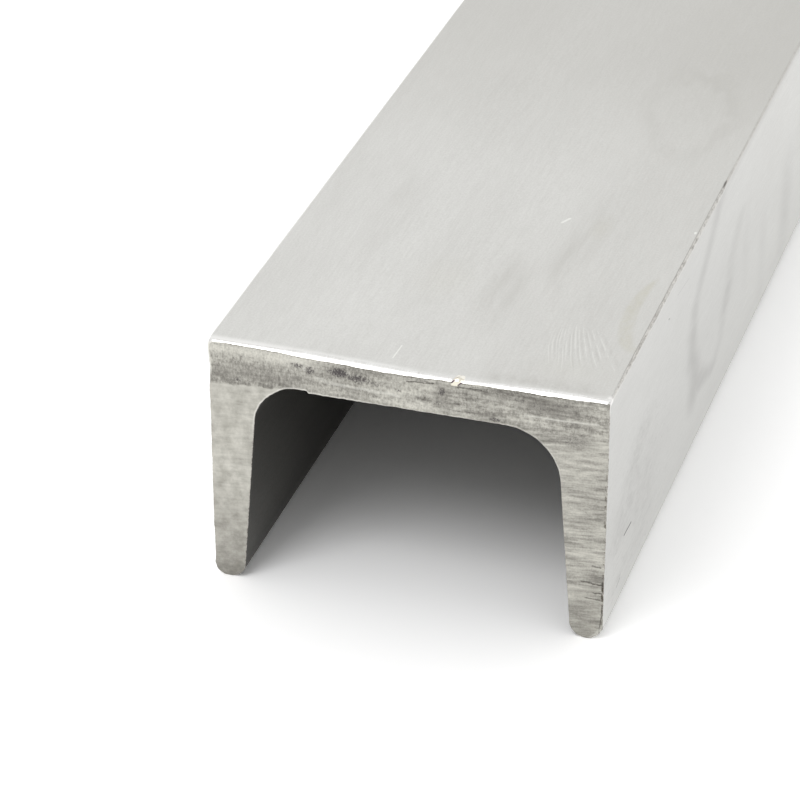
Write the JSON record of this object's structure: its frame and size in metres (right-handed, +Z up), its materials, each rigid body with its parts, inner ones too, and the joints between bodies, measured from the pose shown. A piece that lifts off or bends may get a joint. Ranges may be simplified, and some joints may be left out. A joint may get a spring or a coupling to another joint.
{
  "type": "stainless steel channel bar",
  "caption": "Straight taper-flange channel bar with a flat web, filleted roots, rounded toes and square-sawn ends, for framing and brackets.",
  "frame": {"origin": "mid-width and mid-length of the bar, on the plane of the two flange toes, which is the floor it stands on", "axes": "+Y along the bar, +X across the section, +Z up, out of the back of the web"},
  "size_m": [0.06, 1, 0.04],
  "materials": {
    "stainless_steel": "hot rolled and pickled, satin pale grey with fine lengthwise lines; ends sawn bare"
  },
  "bodies": {
    "root": {"channel_bar": "stainless_steel"}
  },
  "joints": []
}
